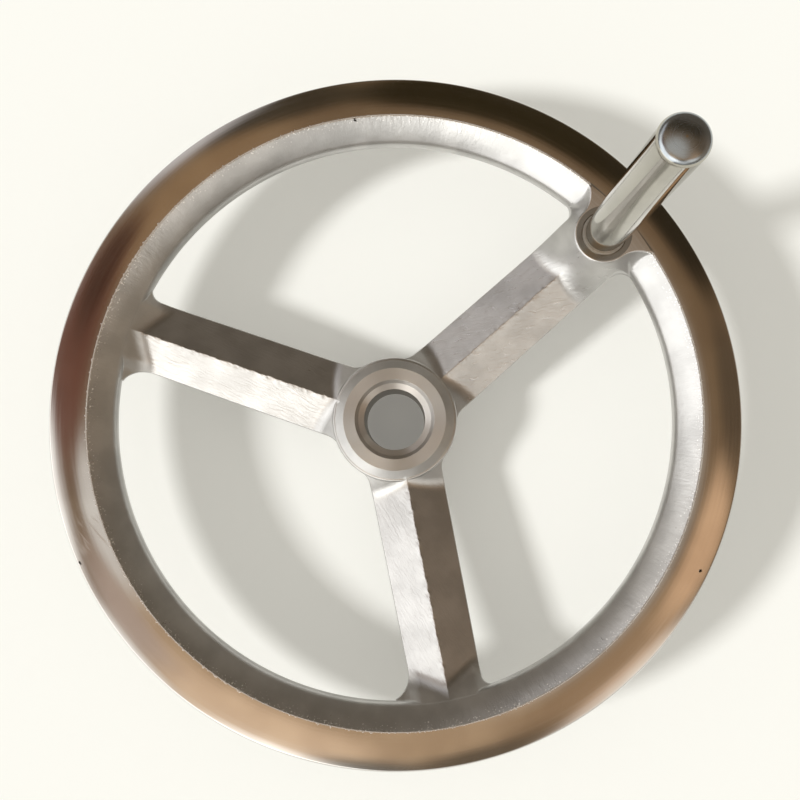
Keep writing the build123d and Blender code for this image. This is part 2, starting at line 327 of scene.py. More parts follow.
def castSkinGroup():
    # ground cast skin: fine grain, soft lumps, hairs that run outwards on the rim and the hub,
    # brush hairs at an angle across a spoke (from its UV map), and bright specks near the crease, which are painted
    # glints
    group, inside, outside = newGroup(
        "castSkin",
        {"Brush Turn": ("float", 0.0), "Brush Depth": ("float", 1.0)},
        {"Height": "float", "Hairs": "float", "PaintedGlints": "float", "Tone": "float"})
    coords = addNode(group, "ShaderNodeTexCoord").outputs["Object"]
    uvMap = addNode(group, "ShaderNodeTexCoord").outputs["UV"]
    grain = addNode(group, "ShaderNodeTexNoise", Vector=coords, Scale=2400.0, Detail=3.0, Roughness=0.6)
    lumps = addNode(group, "ShaderNodeTexNoise", Vector=coords, Scale=110.0, Detail=3.0)
    seat, reach = polarSeat(group, coords, 0.0866, 0.22)
    outHair = addNode(group, "ShaderNodeTexNoise", Vector=seat, Scale=1150.0, Detail=2.0, Distortion=0.6)
    warp = addNode(group, "ShaderNodeTexNoise", Vector=uvMap, Scale=26.0, Detail=1.0)
    bend = addNode(group, "ShaderNodeVectorMath", operation="MULTIPLY_ADD", Vector=warp.outputs["Color"])
    bend.inputs[1].default_value = (0.02, 0.02, 0)
    metric = addNode(group, "ShaderNodeVectorMath", operation="MULTIPLY", Vector=uvMap)
    metric.inputs[1].default_value = (1.0, 0.4, 1.0)
    group.links.new(metric.outputs[0], bend.inputs[2])
    turn = addNode(group, "ShaderNodeCombineXYZ", Z=inside.outputs["Brush Turn"])
    spin = addNode(group, "ShaderNodeMapping", Vector=bend.outputs[0])
    group.links.new(turn.outputs[0], spin.inputs["Rotation"])
    squeeze = addNode(group, "ShaderNodeVectorMath", operation="MULTIPLY", Vector=spin.outputs[0])
    squeeze.inputs[1].default_value = (190.0, 22.0, 1.0)
    brush = addNode(group, "ShaderNodeTexNoise", Vector=squeeze.outputs[0], Scale=1.0, Detail=2.5)
    onRim = mapRange(group, reach, 0.0765, 0.0800)
    onHub = mapRange(group, reach, 0.0215, 0.0195)
    polar = calc(group, "MAXIMUM", onRim, onHub)
    nearCrease = mapRange(group, reach, 0.0815, 0.0864)
    outStrong = calc(group, "MULTIPLY_ADD", nearCrease, 0.30, 0.32)
    outHeight = calc(group, "MULTIPLY", calc(group, "SUBTRACT", outHair.outputs["Fac"], 0.5), outStrong)
    brushHeight = calc(group, "MULTIPLY", calc(group, "SUBTRACT", brush.outputs["Fac"], 0.5),
                       inside.outputs["Brush Depth"])
    hairHeight = mixFloats(group, polar, brushHeight, outHeight)
    hairs = mapRange(group, hairHeight, 0.04, 0.2)
    grainHeight = calc(group, "MULTIPLY", grain.outputs["Fac"], 0.5)
    height = calc(group, "MULTIPLY_ADD", hairHeight, 2.4, grainHeight)
    height = calc(group, "MULTIPLY_ADD", lumps.outputs["Fac"], 2.5, height)
    # white specks near the crease: painted glints
    paintedGlintNoise = addNode(group, "ShaderNodeTexNoise", Vector=coords, Scale=2100.0, Detail=1.0)
    paintedGlintLimit = mapRange(group, reach, 0.0815, 0.0866, -0.15, 0.155)
    paintedGlints = calc(group, "GREATER_THAN", calc(group, "ADD", paintedGlintNoise.outputs["Fac"], paintedGlintLimit), 0.79)
    group.links.new(height, outside.inputs["Height"])
    group.links.new(hairs, outside.inputs["Hairs"])
    group.links.new(paintedGlints, outside.inputs["PaintedGlints"])
    group.links.new(lumps.outputs["Fac"], outside.inputs["Tone"])
    return group


def pitGroup():
    # a small hollow with an uneven outline: 1 within its size of the given place, 0 outside
    group, inside, outside = newGroup(
        "pit", {"Place": ("vector", None), "Stretch": ("vector", None), "Size": ("float", 0.0005)},
        {"Mask": "float"})
    coords = addNode(group, "ShaderNodeTexCoord").outputs["Object"]
    away = addNode(group, "ShaderNodeVectorMath", operation="SUBTRACT", Vector=coords)
    group.links.new(inside.outputs["Place"], away.inputs[1])
    shaped = addNode(group, "ShaderNodeVectorMath", operation="MULTIPLY", Vector=away.outputs[0])
    group.links.new(inside.outputs["Stretch"], shaped.inputs[1])
    gap = addNode(group, "ShaderNodeVectorMath", operation="LENGTH", Vector=shaped.outputs[0])
    ragged = addNode(group, "ShaderNodeTexNoise", Vector=coords, Scale=2500.0, Detail=2.0)
    size = calc(group, "MULTIPLY", inside.outputs["Size"],
                calc(group, "MULTIPLY_ADD", ragged.outputs["Fac"], 1.6, 0.2))
    mask = calc(group, "LESS_THAN", gap.outputs["Value"], size)
    group.links.new(mask, outside.inputs["Mask"])
    return group


turnedMarks = turnedMarksGroup()
castSkin = castSkinGroup()
pit = pitGroup()

# nicks and pits, sunk by the bump and drawn near-black as painted shade: place in millimetres, how much narrower
# than long along each axis, half size
pitPlaces = {
    "face": [((35.97, -88.10, 35.6), (1, 1, 0), 0.42), ((-92.9, 27.2, 35.2), (1.4, 0.7, 0), 0.4)],
    "flank": [((54.4, 61.0, 28.0), (0.8, 1.6, 0.6), 0.75), ((47.85, 71.96, 35.0), (1.5, 0.7, 0.5), 0.6)],
}


def pitMask(tree, places):
    # 1 inside any of the listed pits
    mask = None
    for place, stretch, size in places:
        spot = useGroup(tree, pit, Place=tuple(value * mm for value in place), Stretch=stretch,
                        Size=size * mm)
        mask = spot.outputs["Mask"] if mask is None else calc(tree, "MAXIMUM", mask, spot.outputs["Mask"])
    return mask


def turnedMetal(name, color, roughness, rings, depth, centreX=0.0, spread=0.06, sheen=0.0):
    # turned steel: gloss and bump follow the rings; sheen draws the gloss out across them
    material, tree, output = newMaterial(name)
    marks = useGroup(tree, turnedMarks, Centre_X=centreX, Rings_per_mm=rings)
    rough = mapRange(tree, marks.outputs["Height"], 0.3, 0.7,
                     roughness - spread / 2, roughness + spread / 2)
    darker = [channel * 0.9 for channel in color[:3]] + [1]
    tint = mixColors(tree, mapRange(tree, marks.outputs["Tone"], 0.35, 0.65), darker, color)
    bump = addNode(tree, "ShaderNodeBump", Strength=1.0, Distance=depth, Height=marks.outputs["Height"])
    shader = addNode(tree, "ShaderNodeBsdfPrincipled", Base_Color=tint, Metallic=1.0, Roughness=rough,
                     Normal=bump.outputs["Normal"])
    if sheen:
        coords = addNode(tree, "ShaderNodeTexCoord").outputs["Object"]
        outwards = addNode(tree, "ShaderNodeVectorMath", operation="MULTIPLY", Vector=coords)
        outwards.inputs[1].default_value = (1, 1, 0)
        shader.inputs["Anisotropic"].default_value = sheen
        tree.links.new(outwards.outputs[0], shader.inputs["Tangent"])
    tree.links.new(shader.outputs[0], output.inputs["Surface"])
    return material


def rimFaceMaterial(look):
    # mirror-polished turned face: faint rings, a torn lighter line along the crease, scuffs, and pits drawn
    # near-black as painted shade
    material, tree, output = newMaterial("rimFaceMetal")
    marks = useGroup(tree, turnedMarks, Rings_per_mm=look["ringsPerMm"])
    coords = addNode(tree, "ShaderNodeTexCoord").outputs["Object"]
    seat, reach = polarSeat(tree, coords, creaseRadius * mm, 0.3)
    torn = addNode(tree, "ShaderNodeTexNoise", Vector=seat, Scale=1400.0, Detail=3.0)
    tornWidth = mapRange(tree, torn.outputs["Fac"], 0.45, 0.75,
                         look["tearLeast"] * mm, look["tearMost"] * mm)
    intoFace = calc(tree, "SUBTRACT", reach, creaseRadius * mm)
    axes = addNode(tree, "ShaderNodeSeparateXYZ", Vector=coords)
    tongueEdge = calc(tree, "MULTIPLY", axes.outputs["X"], look["tongueSlope"])
    beside = calc(tree, "GREATER_THAN", calc(tree, "ABSOLUTE", axes.outputs["Y"]), tongueEdge)
    crease = calc(tree, "MULTIPLY", calc(tree, "LESS_THAN", intoFace, tornWidth), beside)
    fromScuff = addNode(tree, "ShaderNodeVectorMath", operation="DISTANCE", Vector=coords)
    fromScuff.inputs[1].default_value = tuple(value * mm for value in look["scuffPlace"])
    scuffArea = mapRange(tree, fromScuff.outputs["Value"], look["scuffReach"] * mm, 0.0)
    stretched = addNode(tree, "ShaderNodeMapping", Vector=coords)
    stretched.inputs["Rotation"].default_value = (0, 0, 0.5)
    stretched.inputs["Scale"].default_value = (900, 130, 130)
    scratch = addNode(tree, "ShaderNodeTexNoise", Vector=stretched.outputs[0],
                      Scale=1.0, Detail=2.0, Distortion=0.4)
    scuff = calc(tree, "MULTIPLY", mapRange(tree, scratch.outputs["Fac"], 0.56, 0.68), scuffArea)
    pitHollowsAndShade = pitMask(tree, pitPlaces["face"])
    tint = mixColors(tree, mapRange(tree, marks.outputs["Tone"], 0.35, 0.65), look["darker"], look["color"])
    # pits drawn near-black: painted shade in their hollows
    tint = mixColors(tree, pitHollowsAndShade, tint, steel["pit"])
    rough = mapRange(tree, marks.outputs["Height"], 0.3, 0.7,
                     look["roughness"] - 0.02, look["roughness"] + 0.02)
    rough = calc(tree, "MULTIPLY_ADD", scuff, 0.12, rough)
    rough = calc(tree, "MULTIPLY_ADD", crease, 0.24, rough)
    height = calc(tree, "MULTIPLY_ADD", torn.outputs["Fac"],
                  calc(tree, "MULTIPLY", crease, 4.0), marks.outputs["Height"])
    height = calc(tree, "MULTIPLY_ADD", pitHollowsAndShade, -12.0, height)
    bump = addNode(tree, "ShaderNodeBump", Strength=1.0, Distance=look["ringDepth"] * mm, Height=height)
    shader = addNode(tree, "ShaderNodeBsdfPrincipled", Base_Color=tint, Metallic=1.0, Roughness=rough,
                     Normal=bump.outputs["Normal"])
    tree.links.new(shader.outputs[0], output.inputs["Surface"])
    return material


def castMaterial(name, brushTurn, brushDepth, roughness=0.33):
    # cast skin: rough where it was blasted, glossier in the hairs left by grinding
    material, tree, output = newMaterial(name)
    skin = useGroup(tree, castSkin, Brush_Turn=brushTurn, Brush_Depth=brushDepth)
    darker = [channel * 0.82 for channel in steel["cast"][:3]] + [1]
    pitHollowsAndShade = pitMask(tree, pitPlaces["flank"])
    tint = mixColors(tree, mapRange(tree, skin.outputs["Tone"], 0.3, 0.7), darker, steel["cast"])
    # white specks: painted glints on the cast skin
    tint = mixColors(tree, skin.outputs["PaintedGlints"], tint, (0.95, 0.94, 0.92, 1))
    # pits drawn near-black: painted shade in their hollows
    tint = mixColors(tree, pitHollowsAndShade, tint, steel["pit"])
    rough = mapRange(tree, skin.outputs["Hairs"], 0.0, 1.0, roughness, roughness - 0.09)
    rough = calc(tree, "MULTIPLY_ADD", skin.outputs["PaintedGlints"], 0.2, rough)
    height = calc(tree, "MULTIPLY_ADD", pitHollowsAndShade, -2.0, skin.outputs["Height"])
    bump = addNode(tree, "ShaderNodeBump", Strength=1.0, Distance=0.00004, Height=height)
    shader = addNode(tree, "ShaderNodeBsdfPrincipled", Base_Color=tint, Metallic=1.0, Roughness=rough,
                     Normal=bump.outputs["Normal"])
    tree.links.new(shader.outputs[0], output.inputs["Surface"])
    return material


rimFaceLook = {
    "color": steel["turned"],
    "darker": (0.58, 0.55, 0.52, 1),
    "roughness": 0.12,
    "ringsPerMm": 1.6,
    "ringDepth": 0.004,
    "tearLeast": 0.06,
    "tearMost": 0.75,
    "tongueSlope": math.tan(math.radians(8.9)),
    "scuffPlace": (-83.0, 30.0, 35.8),
    "scuffReach": 11.0,
}
rimFaceMetal = rimFaceMaterial(rimFaceLook)
hubFaceMetal = turnedMetal("hubFaceMetal", steel["turned"], 0.38, 6.0, 0.00002, sheen=0.9)
bossRingMetal = turnedMetal("bossRingMetal", steel["ring"], 0.2, 1.8, 0.00001, centreX=handleOffset * mm)
gripMetal = turnedMetal("gripMetal", steel["polished"], 0.09, 2.5, 0.000001,
                        centreX=handleOffset * mm, spread=0.02)
gripTipShadeMetal = turnedMetal("gripTipShadeMetal", steel["tip"], 0.25, 3.0, 0.000002, centreX=handleOffset * mm)
spindleMetal = turnedMetal("spindleMetal", steel["pin"], 0.35, 6.0, 0.00001, centreX=handleOffset * mm)
springMetal = turnedMetal("springMetal", steel["spring"], 0.35, 6.0, 0.00001, centreX=handleOffset * mm)
boreShadeMetal = turnedMetal("boreShadeMetal", steel["bore"], 0.35, 4.0, 0.00001)
castMetal = castMaterial("castMetal", 0.0, 0.0)
print("metals made")

# rim

rimSize = {
    "radius": 99.97,
    "top": 36.0,
    "thickness": 15.0,
    "leanAtCrease": 54.0,       # lean of the inner flank from upright, in degrees
    "leanAtLip": 42.0,
    "lipRadius": 81.0,          # where the flank turns down into the window's wall
    "lipRound": 3.2,
    "lipDrop": 1.7,             # how far the lip's round lowers the flank where it meets a spoke's side
    "wallFoot": 85.6,
    "edgeInset": 2.5,
    "edgeDrop": 0.9,            # fall of the crowned face from the crease to its edge
    "edgeRound": 0.22,
    "bellyRound": 3.0,
    "segments": 640,
}
footLevel = rimSize["top"] - rimSize["thickness"]


def flankRun(size):
    # the flank's radii and heights from lip to crease: its slope eases evenly from one lean to the other
    radii = np.linspace(size["lipRadius"], creaseRadius, 28)
    lean = np.radians(np.linspace(size["leanAtLip"], size["leanAtCrease"], 28))
    slope = 1 / np.tan(lean)
    steps = (slope[1:] + slope[:-1]) / 2 * np.diff(radii)
    heights = size["top"] - (steps.sum() - np.concatenate([[0], np.cumsum(steps)]))
    return radii, heights


flankRadii, flankHeights = flankRun(rimSize)
lipCos, lipSin = math.cos(math.radians(rimSize["leanAtLip"])), math.sin(math.radians(rimSize["leanAtLip"]))
windowRadius = rimSize["lipRadius"] - rimSize["lipRound"] * (1 - lipCos)
windowLevel = flankHeights[0] - rimSize["lipRound"] * lipSin


def flankHeight(radius, beside):
    # height of the flank, carried on inside its lip at the same slope; well beside the spoke's
    # middle it also drops by the lip's round
    past = np.clip(flankRadii[0] - radius, 0, None)
    carried = (np.interp(radius, flankRadii, flankHeights)
               - past / math.tan(math.radians(rimSize["leanAtLip"])))
    return carried - rimSize["lipDrop"] * softStep(np.abs(beside), 7.5, 12.5) * softStep(past, -0.2, 1.0)


def turnedArc(start, end, startTurn, count):
    # circular arc from start to end whose first direction is startTurn degrees above outwards
    chordX, chordZ = end[0] - start[0], end[1] - start[1]
    chord, bearing = math.hypot(chordX, chordZ), math.atan2(chordZ, chordX)
    half = bearing - math.radians(startTurn)
    radius = chord / 2 / math.sin(half)
    turn = math.radians(startTurn) + 2 * half * np.linspace(0, 1, count)
    x = start[0] + radius * (np.sin(turn) - math.sin(math.radians(startTurn)))
    z = start[1] - radius * (np.cos(turn) - math.cos(math.radians(startTurn)))
    return np.stack([x, z], -1)


def rimProfile(size):
    # outline of (radius, height): crowned face, crisp edge, barrelled side, belly, underside,
    # elliptical wall, lip and flank; the second value tells machined rows (0) from cast ones (1)
    edge = (size["radius"] - size["edgeInset"], size["top"] - size["edgeDrop"])
    widest = (size["radius"], footLevel + size["bellyRound"])
    face = turnedArc((creaseRadius, size["top"]), edge, 0.0, 30)
    side = turnedArc(widest, edge, 90.0, 16)[::-1]
    inward, down = face[-1] - face[-2], side[1] - side[0]
    inward, down = inward / np.hypot(*inward), down / np.hypot(*down)
    share = np.linspace(-1, 1, 7)[:, None]
    corner = np.array(edge)
    rounded = corner + size["edgeRound"] * (np.minimum(share, 0) * inward + np.maximum(share, 0) * down
                                            - (1 - np.abs(share)) ** 2 * 0.25 * (inward - down))
    belly = arc((size["radius"] - size["bellyRound"], footLevel + size["bellyRound"]),
                size["bellyRound"], 0, -90, 12)
    under = line((size["radius"] - size["bellyRound"], footLevel), (size["wallFoot"], footLevel), 7)[1:]
    quarter = np.linspace(0, np.pi / 2, 14)
    wall = np.stack([size["wallFoot"] - (size["wallFoot"] - windowRadius) * np.sin(quarter),
                     windowLevel - (windowLevel - footLevel) * np.cos(quarter)], -1)
    lip = arc((windowRadius + size["lipRound"], windowLevel), size["lipRound"],
              180, 180 - size["leanAtLip"], 9)[1:]
    flank = np.stack([flankRadii, flankHeights], -1)[1:-1]
    rows = np.concatenate([face[:-1], rounded, side[1:], belly[1:], under, wall, lip, flank])
    machined = len(face) - 1 + len(rounded) + len(side) - 1 + len(belly) - 1
    return rows, np.array([0] * machined + [1] * (len(rows) - machined))


rimRows, rimRowMetals = rimProfile(rimSize)
rim = revolvedPiece("rim", rimRows, rimSize["segments"], (0, 0), [rimFaceMetal, castMetal], rimRowMetals)
print("rim made", len(rimRows) * rimSize["segments"])

# hub

hubSize = {
    "length": 24.0,
    "faceRadius": 15.1,
    "waistRadius": 18.5,
    "shoulderSlope": 0.74,      # fall of the cast shoulder round the machined face
    "shoulderRound": 0.9,
    "footRadius": 17.5,
    "footChamfer": 0.8,
    "faceEdge": 0.12,
    "boreRadius": 9.0,
    "leadInRadius": 11.7,
    "steepDepth": 1.2,
    "steepWidth": 0.95,
    "shallowDepth": 0.9,
    "segments": 300,
}


def coneHeight(radius):
    # height of the hub's cast shoulder, which the spokes carry on
    return hubSize["length"] - (radius - hubSize["faceRadius"]) * hubSize["shoulderSlope"]


def hubProfile(size):
    # outline of (radius, height): bore foot, underside, drafted foot, rounded shoulder, face,
    # countersink, bore; the second value is each row's metal
    bore, foot, chamfer = size["boreRadius"], size["footRadius"], size["footChamfer"]
    stepRadius = size["leadInRadius"] - size["steepWidth"]
    stepLevel = size["length"] - size["steepDepth"]
    bend = size["waistRadius"] - size["shoulderRound"]
    bendLevel = size["length"] - (bend - size["faceRadius"]) * size["shoulderSlope"]
    turn = np.linspace(0, np.pi / 2, 7)
    shoulder = np.stack([size["waistRadius"] - size["shoulderRound"] * (1 - np.cos(turn)),
                         bendLevel - size["shoulderRound"] * (1 - np.sin(turn))], -1)
    corners = [(bore, chamfer), (bore + chamfer, 0), (foot - chamfer, 0), (foot, chamfer)]
    corners += [tuple(point) for point in shoulder]
    corners += [(size["faceRadius"] + size["faceEdge"], size["length"] - size["faceEdge"]),
                (size["faceRadius"], size["length"]), (size["leadInRadius"], size["length"]),
                (stepRadius, stepLevel), (bore, stepLevel - size["shallowDepth"])]
    last = len(corners) - 1
    castRuns = range(3, 4 + len(shoulder))
    rows, metals = [], []
    for run, (start, end) in enumerate(zip(corners, corners[1:] + corners[:1])):
        inset = min(0.08 / max(math.dist(start, end), 0.2), 0.3)
        shares = np.array([0.0, inset, 0.5, 1 - inset])[:, None]
        rows.append(np.array(start) * (1 - shares) + np.array(end) * shares)
        metals += [1 if run in castRuns else 2 if run == last else 0] * len(shares)
    return np.concatenate(rows), np.array(metals)


hubRows, hubRowMetals = hubProfile(hubSize)
# the bore's rows take the darker bore steel, painted shade in the bore
hub = revolvedPiece("hub", hubRows, hubSize["segments"], (0, 0), [hubFaceMetal, castMetal, boreShadeMetal], hubRowMetals)
print("hub made")


# boss and tongue

bossSize = {
    "radius": 8.2,
    "holeRadius": 5.95,
    "lip": 0.25,
    "turnedRadius": 7.9,        # the ring round the hole keeps its turning marks, the tongue is polished
    "cornerAngle": 8.7,
    "neckRadius": 9.0,
    "skirtSlope": 1.7,
    "hollow": 5.0,
    "footRadius": 9.0,
    "footLevel": 19.0,
    "counterbore": 4.6,
    "tapRadius": 4.0,
    "directions": 240,
}


def bossOutline(size):
    # distance from the handle's axis to the machined outline in each direction: round boss,
    # hollow necks up to the two corners at the crease, then just past the crease
    angle = np.linspace(-np.pi, np.pi, size["directions"], endpoint=False)
    cornerTurn = math.radians(size["cornerAngle"])
    corner = np.array([creaseRadius * math.cos(cornerTurn) - handleOffset, creaseRadius * math.sin(cornerTurn)])
    span = math.hypot(*corner)
    reach = size["radius"] + size["neckRadius"]
    opening = math.acos((reach ** 2 + span ** 2 - size["neckRadius"] ** 2) / (2 * reach * span))
    bearing = math.atan2(corner[1], corner[0]) + opening
    centre = reach * np.array([math.cos(bearing), math.sin(bearing)])
    away = np.abs(angle)
    along = centre[0] * np.cos(away) + centre[1] * np.sin(away)
    neck = along - np.sqrt(np.maximum(size["neckRadius"] ** 2 - reach ** 2 + along ** 2, 0))
    cornerBearing = math.atan2(corner[1], corner[0])
    past = creaseRadius + 0.6
    toRim = -handleOffset * np.cos(away) + np.sqrt(past ** 2 - (handleOffset * np.sin(away)) ** 2)
    distance = np.where(away < cornerBearing, toRim, np.where(away < bearing, neck, size["radius"]))
    return angle, distance, cornerBearing


def bossPiece(size):
    # rings of points round the handle's axis: hole, lip, turned ring, polished tongue that
    # falls with the rim's face past the crease, a drop inside the cast skin, and the foot
    angle, outline, _ = bossOutline(size)
    top = rimSize["top"] + 0.004

    def ringOf(radius, level):
        reach = np.broadcast_to(radius, angle.shape)
        x, y = handleOffset + reach * np.cos(angle), reach * np.sin(angle)
        fall = np.interp(np.hypot(x, y), rimRows[:12, 0], rimSize["top"] - rimRows[:12, 1])
        return np.stack([x, y, level - fall], -1)

    lip = size["holeRadius"] + size["lip"]
    seat = rimSize["top"] - size["counterbore"]
    foot = size["footLevel"]
    hole = [(size["tapRadius"], foot), (size["tapRadius"], seat), (size["holeRadius"], seat),
            (size["holeRadius"], top - size["lip"] - 0.02), (size["holeRadius"], top - size["lip"]),
            (lip - 0.02, top - 0.02)]
    rings = [ringOf(radius, level) for radius, level in hole]
    rings += [ringOf(radius, top) for radius in np.linspace(lip, size["turnedRadius"], 7)]
    turned = len(rings)
    rings += [ringOf(size["turnedRadius"] + (outline - size["turnedRadius"]) * share, top)
              for share in np.linspace(0, 1, 9)[1:]]
    polished = len(rings)
    inside = np.minimum(outline, size["radius"])
    rings += [ringOf(outline - 0.02, top - 0.15), ringOf(inside - 0.4, top - 4.0), ringOf(size["footRadius"], 25.0),
              ringOf(size["footRadius"], foot + 0.5), ringOf(size["footRadius"] - 0.5, foot)]
    count = len(rings)
    # metal 3, the darker bore steel, is painted shade in the hole round the grip and at the hidden foot
    metals = [3] * 5 + [0] * (turned - 6) + [1] * (polished - turned) + [2] * (count - polished) + [3]
    return makePiece("boss", np.stack(rings), [gridFaces(count, len(angle), wrapRows=True, wrapColumns=True)],
                     [bossRingMetal, rimFaceMetal, castMetal, boreShadeMetal], np.repeat(metals, len(angle)))


boss = bossPiece(bossSize)
print("boss made")

# spokes

spokeSize = {
    "count": 3,
    "halfWidthAtHub": 11.0,
    "halfWidthAtRim": 10.3,
    "ridgeAtHub": 21.5,
    "ridgeAtRim": 28.3,
    "facetSlope": math.tan(math.radians(24)),
    "sideHeight": 1.6,
    "eaveRound": 0.3,
    "ridgeRound": 0.10,
    "ridgeTear": 0.24,          # how far the ridge wanders where its two facets were ground
    "tearReach": 0.8,
    "facetWave": 0.02,
    "hubRound": 6.0,
    "hubHollow": 1.8,
    "rimHollow": 3.0,
    # rounds of the windows' corners at the rim: (right, left) of each spoke looking outwards
    "rimRounds": [(4.6, 3.6), (3.0, 6.0), (6.0, 2.6)],
    # turn in degrees of the hair pattern, whose hairs lie at 90 less the turn to the spoke, and depth
    "brushes": [(123.0, 0.75), (97.0, 0.55), (66.0, 0.45)],
}


def roofHeight(s, y, seed):
    # two facets that fall from a torn ridge; the ridge climbs from hub to rim
    size = spokeSize
    climb = (size["ridgeAtRim"] - size["ridgeAtHub"]) / (windowRadius - hubSize["waistRadius"])
    ridge = size["ridgeAtHub"] + (s - hubSize["waistRadius"]) * climb
    tear = size["ridgeTear"] * (0.5 * wander(s, 1.3, seed) + 0.5 * wander(s, 0.45, seed + 1))
    tear = tear * np.exp(-(y / size["tearReach"]) ** 2)
    away = np.sqrt((y - tear) ** 2 + size["ridgeRound"] ** 2) - size["ridgeRound"]
    wave = size["facetWave"] * wander(s + 0.6 * y, 7.0, seed + 2) * wander(y + 40, 5.0, seed + 3)
    return ridge - away * size["facetSlope"] + wave


def bossField(s, y):
    # height of the cast skin that climbs to the boss and its tongue on the first spoke
    x = np.sqrt(np.maximum(s * s - y * y, 0))
    angle, outline, _ = bossOutline(bossSize)
    bearing = np.arctan2(y, x - handleOffset)
    edge = np.interp(bearing, angle, outline, period=2 * np.pi)
    return rimSize["top"] + 0.1 - (np.hypot(x - handleOffset, y) - edge) * bossSize["skirtSlope"]


def spokeTop(s, y, seed, carriesBoss):
    # the highest of roof, rim flank, hub shoulder and boss skirt, with hollows between them
    height = smoothMax(roofHeight(s, y, seed), flankHeight(s, y) - 0.05, spokeSize["rimHollow"])
    height = smoothMax(height, coneHeight(s) - 0.05, spokeSize["hubHollow"])
    if carriesBoss:
        height = np.minimum(smoothMax(height, bossField(s, y), bossSize["hollow"]), rimSize["top"] - 0.03)
    return height


def windowOutline(rimRound, steps):
    # one side of a spoke in plan, rows of (along, half width): hub round, tapering side, rim round
    size = spokeSize
    hubReach = hubSize["waistRadius"] - 0.2
    centreY = size["halfWidthAtHub"] + size["hubRound"]
    centreX = math.sqrt((hubReach + size["hubRound"]) ** 2 - centreY ** 2)
    sweep = np.linspace(math.atan2(centreX, centreY), 0, steps)
    hubX = centreX - size["hubRound"] * np.sin(sweep)
    hubY = centreY - size["hubRound"] * np.cos(sweep)
    outerY = size["halfWidthAtRim"] + rimRound
    outerX = math.sqrt((windowRadius + 0.15 - rimRound) ** 2 - outerY ** 2)
    sweepOut = np.linspace(0, math.atan2(outerX, outerY), steps)
    rimX = outerX + rimRound * np.sin(sweepOut)
    rimY = outerY - rimRound * np.cos(sweepOut)
    share = np.linspace(0, 1, 12 * steps)[1:-1]
    sideX = hubX[-1] + (rimX[0] - hubX[-1]) * share
    sideY = hubY[-1] + (rimY[0] - hubY[-1]) * share
    return np.stack([np.concatenate([hubX, sideX, rimX]), np.concatenate([hubY, sideY, rimY])], -1)


def spokeSkin(rightRound, leftRound, seed, carriesBoss):
    # grid of the upper side: stations of equal reach from the hub's face to the crease, and
    # shares across from the right window to the left one, closer at the ridge and the eaves
    size = spokeSize
    outlines = [windowOutline(rightRound, 16), windowOutline(leftRound, 16)]
    halfWidths, stations = [], []
    for outline in outlines:
        reach = np.hypot(outline[:, 0], outline[:, 1])
        inner = np.linspace(hubSize["faceRadius"] + 0.1, reach[0], 14)[:-1]
        outer = np.linspace(reach[-1], creaseRadius - 0.1, 26)[1:]
        halfWidths.append(np.concatenate([inner * outline[0, 1] / reach[0], outline[:, 1],
                                          outer * outline[-1, 1] / reach[-1]]))
        stations.append(np.concatenate([inner, reach, outer]))
    even = np.linspace(-1, 1, 81)
    across = even - 0.85 * np.sin(2 * np.pi * even) / (2 * np.pi)
    right, left = halfWidths
    width = np.where(across[None] < 0, right[:, None], left[:, None])
    y = across[None] * width
    mixShare = (across[None] + 1) / 2
    s = stations[0][:, None] * (1 - mixShare) + stations[1][:, None] * mixShare
    gap = np.clip(width - np.abs(y), 0, size["eaveRound"])
    drop = size["eaveRound"] - np.sqrt(np.maximum(size["eaveRound"] ** 2 - (size["eaveRound"] - gap) ** 2, 0))
    x = np.sqrt(np.maximum(s * s - y * y, 0))
    return np.stack([x, y, spokeTop(s, y, seed, carriesBoss) - drop], -1), s


def followRim(wall):
    # moves a side wall's points outwards by as much as the rim's elliptical wall recedes there
    reach = np.hypot(wall[..., 0], wall[..., 1])
    low = np.clip((windowLevel - wall[..., 2]) / (windowLevel - footLevel), 0, 1)
    recede = (rimSize["wallFoot"] - windowRadius) * (1 - np.sqrt(1 - low ** 2))
    outwards = 1 + recede * softStep(reach, 74.0, windowRadius) / reach
    return wall * np.stack([outwards, outwards, np.ones_like(outwards)], -1)


